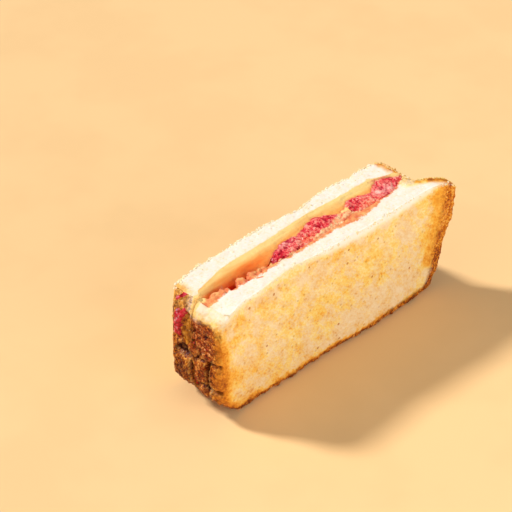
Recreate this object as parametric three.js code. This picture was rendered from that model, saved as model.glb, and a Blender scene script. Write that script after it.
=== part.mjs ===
// One half of a pan-fried peanut butter and jelly sandwich, standing on its crust with the cut side up.
// Millimetres, +Z up. X runs along the cut, Y goes from the front toasted face (-Y) to the back one (+Y).
// The origin is at the bottom centre of the whole half.
// Each slice, and each filling, is a box geometry whose vertices are moved to the real food's form.
import * as THREE from "three";
import { mergeVertices } from "three/addons/utils/BufferGeometryUtils.js";
import { ImprovedNoise } from "three/addons/math/ImprovedNoise.js";

// Outline of the half, seen from the front
const HEIGHT = 51.5; // from the bottom crust to the cut
const LEFT_X = -65.6; // left crust
const FOOT_RIGHT_X = 58; // right crust just above its bottom corner
const FLARE = 8.6; // how far the front slice's right crust leans out further up
const LEFT_CORNER_R = 16;
const RIGHT_CORNER_R = 7.5;
const LIP_CORNER_R = 3; // top corner of the lip that the front slice has at its right end
const LIP_SHARE = 0.56; // the lip takes up this much of the slice's thickness, from its toasted face
const LIP_DROP = 5; // how far the lip's tip lies below the cut
const BACK_RIGHT_X = 49.2; // right crust of the back slice at the cut
const BACK_TUCK = 0.9; // how far the back slice's left crust lies behind the front slice's
const ROLL_Z = 45; // above this height the top left corner is worn round
const SEAM_ROLL = 2.6; // by this much where the slices meet
const FRONT_ROLL = 4.4; // and by this much at the front and back faces
const BACK_ROLL = 1.4;

// Across the slices
const FACE_Y = 13.5; // toasted faces, each side of the middle
const CRUST_EDGE_R = 2.6;
const FOOT_EDGE_R = 1.6;
const SEAM_GAP = 0.36; // between any two pieces that touch
const POCKET_HALF = 6.3; // half the filling's width at the cut
const POCKET_FOOT_HALF = 1.5; // and at its lower edge
const POCKET_FLOOR_Z = 9; // the filling starts above the bottom crust

// Filling
const FILLING_LEFT_X = -62.5;
const FILLING_RIGHT_X = 46.5;
const PB_DROP = 3.4; // how far the peanut butter slopes down from the back slice to the jam
const DEEP_JAM = 6.4; // the jam lies this far below the cut at the left end
const FULL_JAM = 1.5; // and this far where it is full

// The forms below are laid out about the slices' seam; this moves them onto the origin.
const CENTRE_X = 1.2;
const CENTRE_Y = 0.75;

const PALETTE = {
  bread: 0xf0cf92,
  peanutButter: 0xd9a05c,
  jam: 0xa3142e,
};

const { smoothstep, lerp, clamp } = THREE.MathUtils;
const noise = new ImprovedNoise();

// Fractal noise, about -1 to 1, with a feature size in millimetres.
function grain(x, y, z, size, octaves = 2) {
  let sum = 0;
  for (let i = 0; i < octaves; i++) {
    const f = 2 ** i / size;
    sum += noise.noise(x * f + 31.7, y * f + 11.3, z * f + 5.9) / 2 ** i;
  }
  return sum;
}

// How far a quarter circle of radius r has come in from its tangent, at height d above the corner.
function cornerInset(d, r) {
  return d >= r ? 0 : r - Math.sqrt(Math.max(0, r * r - (r - d) ** 2));
}

// The left and right crust at height z. Share is 0 at the outer face and 1 at the inner face.
function leftCrust(z) {
  return LEFT_X + cornerInset(z, LEFT_CORNER_R) - 0.6 * smoothstep(z, 20, HEIGHT);
}

function frontRightCrust(z, share) {
  const outer = FOOT_RIGHT_X + FLARE * smoothstep(z, 2, 34) - cornerInset(HEIGHT - z, LIP_CORNER_R);
  const inner = FOOT_RIGHT_X - 8.8 * smoothstep(z, 14, 42);
  return lerp(inner, outer, clamp(1 - share / LIP_SHARE, 0, 1)) - cornerInset(z, RIGHT_CORNER_R);
}

function backRightCrust(z) {
  return lerp(FOOT_RIGHT_X, BACK_RIGHT_X, smoothstep(z, 14, 46)) - cornerInset(z, RIGHT_CORNER_R);
}

// How far the top left corner has come in, at height z of a slice.
function leftRoll(z, share, side) {
  const atFace = side < 0 ? FRONT_ROLL : BACK_ROLL;
  const rise = clamp((z - ROLL_Z) / (HEIGHT - ROLL_Z), 0, 1);
  return lerp(SEAM_ROLL, atFace, smoothstep(1 - share, 0, 0.6)) * rise ** 2;
}

function bumpAt(x, at, half) {
  return Math.exp(-(((x - at) / half) ** 2));
}

function bumps(x, list) {
  return list.reduce((sum, [at, half, reach]) => sum + reach * bumpAt(x, at, half), 0);
}

// Half the width of the filling's pocket: thin near the bottom crust, and closed just past the filling.
// It has its full width from wideX on.
function pocket(x, z, wideX = -52) {
  const atCut = POCKET_HALF * lerp(0.42, 1, smoothstep(x, -63, wideX) * (1 - smoothstep(x, 35, 47)));
  const closed = smoothstep(x, -65, -61.5) * (1 - smoothstep(x, 46, 50)) * smoothstep(z, 5.5, POCKET_FLOOR_Z);
  return lerp(POCKET_FOOT_HALF, atCut, smoothstep(z, POCKET_FLOOR_Z, 47)) * closed;
}

// The peanut butter's side of the pocket widens more slowly and is widest in the middle.
function backPocket(x, z) {
  return pocket(x, z, -40) * (1 + 0.2 * bumpAt(x, 1, 15));
}

// The lists of bumps below hold [centre x, half width, reach].
// The jam swells towards the back slice in these places.
const JAM_BACK = -1.8;
const JAM_HUMPS = [
  [-15, 8, 4],
  [2, 7.5, 6.4],
  [22, 5.5, 4.8],
  [40, 5, 6],
];

// The surface between peanut butter and jam, as Y.
function divide(x, z) {
  const share = clamp((JAM_BACK + bumps(x, JAM_HUMPS)) / POCKET_HALF, -0.8, 0.75);
  return share * pocket(x, z);
}

// Soft lumps of torn crumb along the front slice's inner edge at the cut.
const CRUMB_LUMPS = [
  [-55, 4.2, 3.4],
  [-44.2, 2.8, 4],
  [-36.5, 4.6, 3.2],
  [-12, 4, 1],
  [2, 5, 0.9],
  [15, 4, 1.4],
];

function lumps(x, z) {
  return smoothstep(z, HEIGHT - 5.5, HEIGHT - 2) * bumps(x, CRUMB_LUMPS);
}

// The back slice's face at the cut is uneven.
const BACK_WAVES = [
  [-25, 12, 0.7],
  [2, 6.5, -1.5],
  [19, 7, 0.7],
  [32.5, 3, -0.8],
];

// Folds in the left crust: ends as [y, z], then half width and depth.
const LEFT_FOLDS = [
  { from: [9.2, 24.4], to: [2, 25.2], half: 1.7, depth: 2.6 },
  { from: [2, 25], to: [-8, 27], half: 1.2, depth: 0.9 },
  { from: [0.9, 21.8], to: [-0.4, 11.5], half: 1.2, depth: 1.7 },
  { from: [-7.6, 26.2], to: [-7.6, 15], half: 1.2, depth: 2 },
  { from: [-3.4, 14.6], to: [-16, 14.7], half: 1.4, depth: 2 },
  { from: [-8.3, 13.6], to: [-8.5, 7], half: 1.2, depth: 1.2 },
  { from: [-0.8, 38.6], to: [2, 36.2], half: 1.3, depth: 0.8 },
];

// Cushions of crust between the folds: centre and half sizes as [y, z], then height.
const LEFT_CUSHIONS = [
  { at: [5.9, 16.7], half: [5.4, 6.8], height: 1.9 },
  { at: [-3.4, 20.4], half: [3.6, 6.2], height: 0.9 },
  { at: [-11.8, 20.6], half: [3.9, 5.7], height: 0.9 },
  { at: [-5.1, 11], half: [2.8, 2.8], height: 1.3 },
  { at: [-12, 11], half: [3.3, 2.9], height: 1.3 },
];

function distanceToFold(y, z, { from, to }) {
  const [dy, dz] = [to[0] - from[0], to[1] - from[1]];
  const t = clamp(((y - from[0]) * dy + (z - from[1]) * dz) / (dy * dy + dz * dz), 0, 1);
  return Math.hypot(y - from[0] - t * dy, z - from[1] - t * dz);
}

function folds(y, z) {
  return LEFT_FOLDS.reduce(
    (sum, fold) => sum + fold.depth * Math.exp(-((distanceToFold(y, z, fold) / fold.half) ** 2)),
    0,
  );
}

function cushions(y, z) {
  return LEFT_CUSHIONS.reduce((sum, { at, half, height }) => {
    const far = (((y - at[0]) / half[0]) ** 4 + ((z - at[1]) / half[1]) ** 4) ** 0.25;
    return sum + height * (1 - smoothstep(far, 0.62, 1.06));
  }, -0.4);
}

// Keeps grid lines closer together near both ends of 0 to 1.
function gather(t, amount) {
  return t - (amount * Math.sin(2 * Math.PI * t)) / (2 * Math.PI);
}

// Pulls a point of a square corner onto a round one. The corner is at the smaller end of each axis.
function roundCorner(p, q, size, r) {
  const [cp, cq] = [clamp(p, r, size[0] - r), clamp(q, r, size[1] - r)];
  const out = Math.hypot(p - cp, q - cq);
  return out > r ? [cp + (r * (p - cp)) / out, cq + (r * (q - cq)) / out] : [p, q];
}

// A closed box geometry with shared vertices, each moved by place(a, b, c) with a, b and c from 0 to 1.
function warpedBox(segments, place) {
  const box = new THREE.BoxGeometry(1, 1, 1, ...segments);
  box.deleteAttribute("normal");
  box.deleteAttribute("uv");
  const geometry = mergeVertices(box, 1e-5);
  const at = geometry.getAttribute("position");
  const unit = [];
  for (let i = 0; i < at.count; i++) {
    const u = [at.getX(i) + 0.5, at.getY(i) + 0.5, at.getZ(i) + 0.5];
    unit.push(u);
    at.setXYZ(i, ...place(...u));
  }
  geometry.computeVertexNormals();
  return { geometry, unit };
}

// Moves each vertex along its own normal by relief(point, normal, unit coordinates).
function carve({ geometry, unit }, relief) {
  const at = geometry.getAttribute("position");
  const facing = geometry.getAttribute("normal");
  const p = new THREE.Vector3();
  const n = new THREE.Vector3();
  for (let i = 0; i < at.count; i++) {
    p.fromBufferAttribute(at, i);
    n.fromBufferAttribute(facing, i);
    p.addScaledVector(n, relief(p, n, unit[i]));
    at.setXYZ(i, p.x, p.y, Math.max(p.z, 0));
  }
  geometry.deleteAttribute("normal");
  return geometry;
}

// A slice of bread. Side is -1 for the front slice and 1 for the back one.
function sliceGeometry(side, rightCrust) {
  const segments = [34, 9, 22];
  const thick = FACE_Y;
  const place = (a, b, c) => {
    // A straight slab first, with round edges at the crust and square ones at the cut and the seam
    const length = FOOT_RIGHT_X - LEFT_X;
    const outerShare = side < 0 ? b : 1 - b;
    let along = length * gather(a, 0.45);
    let across = thick * outerShare;
    let up = HEIGHT * gather(c, 0.3);
    [along, across] = roundCorner(along, across, [length, thick + 2 * CRUST_EDGE_R], CRUST_EDGE_R);
    [across, up] = roundCorner(across, up, [thick + 2 * FOOT_EDGE_R, HEIGHT + 2 * FOOT_EDGE_R], FOOT_EDGE_R);
    // Then the slice's own outline and thickness
    const share = across / thick;
    const tuck = side < 0 ? 0 : BACK_TUCK * smoothstep(1 - share, 0, 0.6);
    const x = lerp(leftCrust(up) + tuck + leftRoll(up, share, side), rightCrust(up, share), along / length);
    const sunk = side < 0 ? frontSlump(x) * lerp(0.2, 1, smoothstep(1 - share, 0, 0.7)) : 0;
    const z = up - sunk * smoothstep(up, 25, HEIGHT);
    const outerY = side * (FACE_Y + faceWave(x, z, side));
    const innerY = side * (SEAM_GAP / 2 + (side < 0 ? pocket(x, z) - lumps(x, z) : backPocket(x, z)));
    return [x, lerp(outerY, innerY, share), z];
  };
  const relief = (p, n, [a, b, c]) => {
    const outerShare = side < 0 ? b : 1 - b;
    const inside = outerShare > 0.999 ? 1 : 0;
    const left = a < 0.001 ? 1 : smoothstep(-n.x, 0.35, 0.8);
    const right = a > 0.999 ? 1 : 0;
    const cut = c > 0.999 ? 1 : 0;
    const foot = p.z < 0.2 ? 1 : 0;
    if (foot || (inside && !cut)) return 0;
    let out = 0.22 * grain(p.x, p.y, p.z, 9);
    out += left * (0.6 * grain(p.x, p.y, p.z, 4.5) + cushions(p.y, p.z) - folds(p.y, p.z));
    out += right * 0.8 * grain(p.x, p.y, p.z * 0.5, 4);
    out += cut * 0.7 * grain(p.x, p.y, p.z, 5);
    if (inside && cut) out *= 0.3;
    return out;
  };
  return carve(warpedBox(segments, place), relief);
}

// The toasted faces are nearly flat: the front one flares out at both ends, dips beside the cut
// and is fuller near the bottom.
function faceWave(x, z, side) {
  const high = smoothstep(z, 25, HEIGHT);
  if (side > 0) {
    const ends = 1 - smoothstep(x, -64, -48) + smoothstep(x, 40, 50);
    return high * (bumps(x, BACK_WAVES) - 1.6 * ends);
  }
  const flare = 1.3 * (1 - smoothstep(x, -66, -50));
  const dip = -1.6 * bumpAt(x, -26, 15) * high;
  const foot = 0.9 * (1 - smoothstep(z, 8, 34)) * smoothstep(x, -35, 15);
  const right = 0.9 * smoothstep(x, -8, 18) * (1 - 0.8 * smoothstep(x, 40, 56) * (1 - smoothstep(z, 18, 36)));
  const lip = 1.5 * smoothstep(x, 44, 62) * smoothstep(z, 22, 44);
  return flare + dip + foot + right + lip;
}

// How far the front slice's cut has sunk at its left corner and at the tip of its lip.
function frontSlump(x) {
  return 2.6 * (1 - smoothstep(x, -68, -52)) + LIP_DROP * smoothstep(x, 57, 67);
}

// The peanut butter clings to the back slice and slopes down to the jam.
function peanutButterGeometry() {
  const place = (a, b, c) => {
    const x = lerp(FILLING_LEFT_X, FILLING_RIGHT_X, gather(a, 0.2));
    const crest = HEIGHT - 0.2 + 0.2 * grain(x, 0, 0, 14);
    const left = smoothstep(-x, 22, 38);
    const top = crest - PB_DROP * (1 - b) ** lerp(1.4, 2.2, left) * lerp(0.34, 1, left);
    const z = lerp(POCKET_FLOOR_Z, top, gather(c, 0.2));
    const front = divide(x, z) + SEAM_GAP / 2;
    const back = backPocket(x, z) - SEAM_GAP / 2;
    return [x, lerp(front, back, b), z];
  };
  return warpedBox([36, 4, 5], place).geometry;
}

// The jam fills the rest of the pocket, deep down at the left end and up to the cut further right.
function jamGeometry() {
  const place = (a, b, c) => {
    const x = lerp(FILLING_LEFT_X, FILLING_RIGHT_X, gather(a, 0.2));
    const full = smoothstep(x, -33, -24);
    const waves = (0.9 * grain(x, b * 9, 3, 6) + 0.5) * full * Math.sin(Math.PI * b);
    const top = HEIGHT - lerp(DEEP_JAM, FULL_JAM, full) + waves;
    const z = lerp(POCKET_FLOOR_Z, top, gather(c, 0.2));
    const front = -pocket(x, z) + SEAM_GAP / 2 + (full > 0 ? lumps(x, z) : 0);
    const back = divide(x, z) - SEAM_GAP / 2;
    return [x, lerp(front, back, b), z];
  };
  return warpedBox([36, 6, 5], place).geometry;
}

function piece(name, geometry, color, roughness) {
  const mesh = new THREE.Mesh(geometry, new THREE.MeshStandardMaterial({ color, roughness, metalness: 0 }));
  mesh.name = name;
  mesh.position.set(CENTRE_X, CENTRE_Y, 0);
  return mesh;
}

const sandwich = new THREE.Group();
sandwich.add(
  piece("front_slice", sliceGeometry(-1, frontRightCrust), PALETTE.bread, 0.9),
  piece("back_slice", sliceGeometry(1, backRightCrust), PALETTE.bread, 0.9),
  piece("peanut_butter", peanutButterGeometry(), PALETTE.peanutButter, 0.45),
  piece("jam", jamGeometry(), PALETTE.jam, 0.15),
);

export default sandwich;
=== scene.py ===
"""One half of a pan-fried peanut butter and jelly sandwich, standing on its crust with the cut side up.

Each slice and each filling is a closed grid of points that are moved to the real food's form and then given
relief: open crumb at the cut, pressed pores on the toasted faces, folds in the crust, pulp in the jam.
Lengths are in millimetres. X runs along the cut, Y from the front toasted face to the back one, and Z up.
"""

import math

import bpy
import numpy as np
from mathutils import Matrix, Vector


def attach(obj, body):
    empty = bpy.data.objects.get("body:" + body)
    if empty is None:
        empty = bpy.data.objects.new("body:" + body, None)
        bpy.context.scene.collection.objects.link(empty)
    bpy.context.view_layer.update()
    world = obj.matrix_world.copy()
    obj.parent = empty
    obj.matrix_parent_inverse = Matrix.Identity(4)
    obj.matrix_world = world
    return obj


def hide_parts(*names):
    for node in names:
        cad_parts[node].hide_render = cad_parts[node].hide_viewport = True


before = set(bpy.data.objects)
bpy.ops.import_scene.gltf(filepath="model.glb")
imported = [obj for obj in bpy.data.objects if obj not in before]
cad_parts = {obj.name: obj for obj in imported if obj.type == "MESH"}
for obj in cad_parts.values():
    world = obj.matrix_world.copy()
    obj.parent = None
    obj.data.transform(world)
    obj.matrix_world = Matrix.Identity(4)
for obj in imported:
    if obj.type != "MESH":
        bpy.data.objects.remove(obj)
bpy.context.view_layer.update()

# The half's own sizes, the same as the solids' where no comment gives another
HEIGHT = 51.5  # from the bottom crust to the cut
LEFT_X = -65.6  # left crust
FOOT_RIGHT_X = 58.0  # right crust just above its bottom corner
FLARE = 8.6  # how far the front slice's right crust leans out further up
LEFT_CORNER_R = 16.0
RIGHT_CORNER_R = 10.5  # 7.5 in the solids
LIP_CORNER_R = 3.0  # top corner of the lip at the front slice's right end
LIP_SHARE = 0.56  # of the slice's thickness, from its toasted face
LIP_DROP = 5.0  # how far the lip's tip lies below the cut
BACK_RIGHT_X = 49.2  # right crust of the back slice at the cut
BACK_TUCK = 0.9  # how far the back slice's left crust lies behind the front slice's
ROLL_Z = 45.0  # above this height the top left corner is worn round
SEAM_ROLL = 2.6  # by this much where the slices meet
FRONT_ROLL = 4.4  # and by this much at the front and back faces
BACK_ROLL = 1.4
FACE_Y = 13.5  # toasted faces, each side of the slices' seam
CRUST_EDGE_R = 2.6
FOOT_EDGE_R = 1.6
SEAM_OVERLAP = 0.12  # of the slices' skins, so that the seam doesn't gape
SEAM_INSET = 3.6  # how far in the crusts have closed over the filling at the top left
POCKET_HALF = 6.3  # half the filling's width at the cut
POCKET_FOOT_HALF = 1.5  # and at its lower edge
POCKET_FLOOR_Z = 9.0  # the filling starts above the bottom crust
FILLING_RIGHT_X = 49.0  # 46.5 in the solids
LEAST_LAYER = 0.5  # neither filling gets thinner than this
PB_DROP = 3.0  # how far the peanut butter slopes down to the jam, 3.4 in the solids
DEEP_JAM = 6.4  # the jam lies this far below the cut at the left end
FULL_JAM = 1.1  # and this far where it is full, 1.5 in the solids
BRIDGE_X = 14.5  # the peanut butter's bridge over the jam
LUMP_Y = -4.1  # middle of the soaked lumps

# From the slices' seam to the frame's own middle, and from millimetres to metres
CENTRE = np.array([1.2, 0.75, 0.0])
MM = 0.001

# How finely each piece is divided: along the cut, across it and upwards
SLICE_GRID = (316, 34, 104)
BUTTER_GRID = (300, 30, 26)
JAM_GRID = (360, 36, 22)

FRONT, BACK = -1, 1
NOISE_SEED = 7

# Where jam meets peanut butter at the cut, as (x, y): two humps, and the bridge between them
SPLIT = [
    (-66, -0.6), (-36, -1.6), (-30, -3.2), (-27, -2.2), (-23, -0.2), (-18, 1.6), (-13, 2), (-9, 1.3),
    (-6, 2), (-2, 3.8), (2, 4.6), (5, 4), (8, 2.4), (11, 0.2), (13.5, -0.6), (17, 0.8), (19, 2.4), (22, 2.9),
    (26, 2.5), (29, 0.6), (31.5, 0.3), (34, 2.2), (37, 3.6), (41, 4.4), (44, 3.2), (47, 0),
]
# Nearer the front slice than this, the jam gives way to soaked crumb
SOAKED_EDGE = [
    (-34, -2.4), (-30, -3.4), (-26, -4.8), (-15, -5.2), (-9, -6), (-5, -4.2), (0, -3.4), (5, -2.4),
    (10, -1.4), (13, 0), (17, -3), (20, -5), (24, -6.5), (28, -6.8), (34, -5.6), (40, -5), (46, -2.5),
]
# How far juice has soaked into the front slice's cut, as (x, y)
JUICE_EDGE = [
    (-64, -5.6), (-50, -5.9), (-40, -6.3), (-33, -6.9), (-26, -6.4), (-15, -7.3), (-5, -6.9), (5, -7.2),
    (12, -9), (18, -9), (24, -7.8), (32, -6.6), (40, -5.6), (47, -3),
]
JUICE_MARK = ((-39.4, -7.4), (-37.3, -8.4))
# How far bare crumb reaches down the toasted faces, as (x, depth) for the front one
FRONT_CRUMB_REACH = [
    (-66, 1.5), (-46, 1.2), (-40, -0.2), (-24, -1.2), (-15, 1), (0, 2.7), (30, 3.3), (45, 2.2), (54, 0),
]
BACK_CRUMB_REACH = 0.3

# Soaked lumps on the front slice's inner edge: centre x, half width, reach
CRUMB_LUMPS = [
    (-61.4, 1.7, 1.2), (-56.6, 2.6, 3), (-52.6, 1.9, 3.6), (-44.6, 2.5, 4.2), (-39.2, 2.1, 3.7),
    (-34.6, 2.4, 2.7), (-29.6, 2.2, 1.6), (-12, 4, 1), (2, 5, 0.9), (15, 3.5, 1.6), (25, 4, 0.5),
]
LARGE_LUMP = 1.4  # one that reaches further than this is a dome
# The back slice's face at the cut is uneven: centre x, half width, reach
BACK_WAVES = [(-25, 12, 0.7), (2, 6.5, -1.5), (19, 7, 0.7), (32.5, 2, -1.1)]

# Folds in the left crust: ends as (y, z), half width, depth
LEFT_FOLDS = [
    ((2, 24.7), (9.2, 24), 0.7, 1.9),
    ((3.2, 26.2), (7, 26.4), 0.9, 1.5),
    ((2, 24.9), (-8, 27), 0.5, 0.9),
    ((-8, 27), (-15.5, 26.6), 0.45, 0.6),
    ((0.9, 21.8), (-0.4, 11.5), 0.5, 2.4),
    ((-7.6, 26.2), (-7.6, 15), 0.5, 2.2),
    ((-3.4, 14.6), (-8.2, 14.5), 0.6, 2.2),
    ((-8.2, 14.5), (-16, 14.8), 0.6, 2.2),
    ((-8.3, 13.6), (-8.5, 7), 0.5, 1.7),
    ((-1.6, 13.2), (-2.4, 7.5), 0.5, 1.1),
    ((-8.5, 38.6), (-3, 37.6), 0.5, 0.7),
    ((-0.8, 38.6), (2, 36.2), 0.55, 0.9),
    ((-3.6, 30.8), (-1.4, 25.8), 0.5, 0.7),
    ((4.6, 17.2), (8.4, 16), 0.4, 0.6),
]
# Cushions of crust between the folds: centre (y, z), half sizes, height
LEFT_CUSHIONS = [
    ((5.9, 16.7), (5.4, 6.8), 1.9),
    ((-3.4, 20.4), (3.6, 6.2), 0.9),
    ((-11.8, 20.6), (3.9, 5.7), 0.9),
    ((-5.1, 11), (2.8, 2.8), 1.3),
    ((-12, 11), (3.3, 2.9), 1.3),
    ((7.4, 28), (2.4, 1.5), 1),
]
# Jam rubbed on the left crust: ends as (y, z) and half width
JAM_STREAKS = [((4, 44.6), (6, 41.5), 1.2), ((7.2, 41.5), (9.2, 31.5), 2)]
JAM_DAB = ((4.6, 51.6), (8.6, 47.6), 0.75)
BUTTER_DRIP = ((2.6, 44), (2.8, 40), 1.3)

# Patches where the jam looks milky, warm or dark: centre (x, y), half sizes, strength. The first dark one,
# where the jam lies deep at the left end, is painted shade
JAM_HAZE = [((-17, 0.8), (7, 2.2), 1), ((36.5, -2.4), (6, 2.6), 1)]
JAM_WARM = [((26.5, -4.6), (6, 3), 1), ((-7, -3.4), (5, 2.2), 1)]
JAM_DARK = [
    ((-25, -3.8), (5, 1.6), 1), ((3, 1), (8, 3), 0.8), ((21, 0), (3.6, 3), 0.9), ((41.5, 3.4), (2, 2), 0.7),
]

# Colour ramps as stops of place, red, green, blue
GOLD_TOAST = [
    (0, 255, 246, 214), (0.16, 254, 238, 180), (0.32, 252, 224, 136), (0.47, 249, 206, 98),
    (0.58, 245, 178, 62), (0.7, 224, 140, 34), (0.86, 156, 76, 16), (1, 64, 22, 8),
]
BEIGE_TOAST = [
    (0, 254, 238, 214), (0.3, 246, 222, 180), (0.52, 240, 203, 142),
    (0.72, 212, 134, 52), (1, 96, 42, 16),
]
RIND = [(0.08, 46, 8, 0), (0.33, 108, 34, 0), (0.54, 172, 80, 0), (0.74, 224, 134, 14), (0.97, 255, 204, 100)]
RUDDY_RIND = [
    (0.05, 44, 0, 0), (0.28, 96, 12, 0), (0.48, 154, 48, 4), (0.68, 196, 104, 32), (0.92, 250, 196, 144),
]
OPEN_CRUMB = [(0, 249, 226, 188), (0.35, 250, 238, 219), (1, 252, 244, 240)]
JUICE = [(0.3, 247, 190, 122), (0.46, 240, 156, 98), (0.6, 234, 128, 84), (0.76, 218, 76, 66)]
RUBBED_BUTTER = [(0.3, 126, 62, 0), (0.5, 178, 106, 8), (0.75, 236, 174, 74)]
# The rubbed jam's palest, lilac stop is a painted highlight on the wet smear
RUBBED_JAM = [(0.32, 112, 0, 18), (0.47, 192, 8, 38), (0.59, 224, 62, 86), (0.69, 226, 172, 190)]
BUTTER = [
    (0, 255, 220, 142), (0.2, 255, 200, 118), (0.4, 255, 172, 84),
    (0.62, 254, 126, 42), (0.82, 240, 66, 16), (1, 190, 8, 10),
]
JAM = [
    (0, 170, 0, 24), (0.2, 206, 10, 48), (0.4, 230, 46, 64),
    (0.58, 245, 105, 98), (0.78, 251, 155, 137), (1, 255, 208, 188),
]
WARM_JAM = [(0, 170, 6, 16), (0.35, 236, 56, 36), (0.65, 250, 116, 72), (1, 255, 184, 140)]
COOL_JAM = [(0, 150, 8, 50), (0.35, 214, 76, 100), (0.65, 242, 134, 136), (1, 254, 200, 196)]
BUTTER_IN_JAM = [(0.3, 240, 120, 70), (0.4, 248, 182, 104), (0.6, 253, 214, 140)]
SOAKED_CRUMB = [(0.32, 236, 104, 84), (0.45, 248, 166, 118), (0.6, 253, 212, 160)]

# Camera: it looks down along the half's diagonal
PITCH = math.radians(36.7)
AHEAD = (0.7108, 0.7034)
TARGET = Vector((0.02029, 0.05179, 0))
CAMERA_DISTANCE = 0.8333
LENS = 140.625
SENSOR = 36
NEAREST = 0.05
# Lights: name, kind, place as seen from the camera, energy, colour, and the disk's or the sun's size
LIGHTS = [
    ("sun", "SUN", (-0.75, 0.25, 0.75), 3, (1, 0.96, 0.91), 9),
    ("front_fill", "AREA", (0.75, -0.75, 0.36), 7.6, (1, 0.96, 0.92), 1),
    ("left_fill", "AREA", (-0.8, -0.8, 0.5), 0.8, (1, 0.95, 0.88), 0.6),
]
LIGHT_DISTANCE = 1.2
SKY = (1, 0.95, 0.88, 1)
SKY_STRENGTH = 0.32
FLOOR_HALF = 3


# Small tools
def smooth(x, lo, hi):
    """0 up to lo, 1 from hi on."""
    t = np.clip((x - lo) / (hi - lo), 0, 1)
    return t * t * (3 - 2 * t)


def fade(x, lo, hi):
    """1 up to lo, 0 from hi on."""
    return 1 - smooth(x, lo, hi)


def mix(a, b, t):
    return a + (b - a) * t


def most(*values):
    """The largest of the values at each point."""
    return np.maximum.reduce(np.broadcast_arrays(*values))


def bump_at(x, at, half):
    return np.exp(-(((x - at) / half) ** 2))


def bumps(x, places):
    """The sum of bumps, each given as its centre, half width and reach."""
    return sum(reach * bump_at(x, at, half) for at, half, reach in places)


def spot(u, v, at, half):
    """1 at a point of a plane, and less around it."""
    return np.exp(-(((u - at[0]) / half[0]) ** 2 + ((v - at[1]) / half[1]) ** 2))


def spots(u, v, places):
    """The sum of spots, each given as its centre, half sizes and strength."""
    return sum(strength * spot(u, v, at, half) for at, half, strength in places)


def on_line(x, line):
    """The value at x of a line through (x, value) points."""
    return np.interp(x, *zip(*line))


def to_segment(u, v, a, b, unit=1):
    """Distance in a plane to the segment from a to b, in units."""
    du, dv = b[0] - a[0], b[1] - a[1]
    t = np.clip(((u - a[0]) * du + (v - a[1]) * dv) / (du * du + dv * dv), 0, 1)
    return np.hypot(u - a[0] - t * du, v - a[1] - t * dv) / unit


def srgb(*colour):
    """A linear colour from three sRGB values of 0 to 255."""
    linear = [c / 3294.6 if c <= 10.31 else ((c / 255 + 0.055) / 1.055) ** 2.4 for c in colour]
    return (*linear, 1)


# Noise, from one seeded table
rng = np.random.default_rng(NOISE_SEED)
ORDER = rng.permutation(256)
SLOPES = rng.normal(size=(256, 3))
SLOPES /= np.linalg.norm(SLOPES, axis=1)[:, None]
JITTER = rng.random((256, 3))
VALUES = rng.random(256)


def table_row(cell):
    """A row of the table for each grid cell."""
    return ORDER[(ORDER[(ORDER[cell[:, 0] & 255] + cell[:, 1]) & 255] + cell[:, 2]) & 255]


def smooth_noise(p):
    """Gradient noise, about -1 to 1, with one feature in each grid cell."""
    cell = np.floor(p).astype(np.int64)
    inside = p - cell
    ease = inside * inside * inside * (inside * (inside * 6 - 15) + 10)
    total = np.zeros(len(p))
    for k in range(8):
        corner = np.array([k & 1, k >> 1 & 1, k >> 2 & 1])
        near = np.prod(np.where(corner, ease, 1 - ease), axis=1)
        total += near * np.einsum("ij,ij->i", SLOPES[table_row(cell + corner)], inside - corner)
    return total * 1.7


def noise(p, size, octaves=3, shift=0, stretch=(1, 1, 1)):
    """Fractal noise, about -1 to 1, with features of about size mm."""
    q = p / (size * np.array(stretch, float)) + shift
    return sum(smooth_noise(q * 2**i + 17.3 * i) / 2**i for i in range(octaves))


def cells(p, size, shift=0):
    """Distance to the nearest of a jittered set of points, and that point's random value."""
    p = p / size + shift
    cell = np.floor(p).astype(np.int64)
    nearest = np.full(len(p), 9.0)
    value = np.zeros(len(p))
    for k in range(27):
        other = cell + np.array([k % 3 - 1, k // 3 % 3 - 1, k // 9 - 1])
        row = table_row(other)
        d = np.linalg.norm(p - other - JITTER[row], axis=1)
        value = np.where(d < nearest, VALUES[row], value)
        nearest = np.minimum(d, nearest)
    return nearest, value


# The form, nearly the same as the solids'
def corner_inset(d, r):
    """How far a corner of radius r draws a side in, at a distance d from the corner's other side."""
    d = np.clip(d, 0, r)
    return r - np.sqrt(np.maximum(0, r * r - (r - d) ** 2))


def round_corner(p, q, size, r):
    """Move points of a rectangle from 0 to size inside the same with round corners."""
    cp, cq = np.clip(p, r, size[0] - r), np.clip(q, r, size[1] - r)
    out = np.hypot(p - cp, q - cq)
    k = np.where(out > r, r / np.maximum(out, 1e-9), 1)
    return cp + (p - cp) * k, cq + (q - cq) * k


def left_crust(z):
    return LEFT_X + corner_inset(z, LEFT_CORNER_R) - 0.6 * smooth(z, 20, HEIGHT)


def right_crust(side, z, share):
    """X of a slice's right end. The share is 0 at its toasted face and 1 at the seam."""
    corner = corner_inset(z, RIGHT_CORNER_R)
    if side == BACK:
        return mix(FOOT_RIGHT_X, BACK_RIGHT_X, smooth(z, 14, 46)) - corner
    lip = FOOT_RIGHT_X + FLARE * smooth(z, 2, 34) - corner_inset(HEIGHT - z, LIP_CORNER_R)
    inner = mix(FOOT_RIGHT_X, BACK_RIGHT_X, smooth(z, 14, 42))
    return mix(inner, lip, np.clip(1 - share / LIP_SHARE, 0, 1)) - corner


def seam_end(z):
    """Where the slices' crusts have closed over the filling at the left."""
    return left_crust(z) + 0.8 + SEAM_INSET * smooth(z, 30, HEIGHT)


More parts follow.
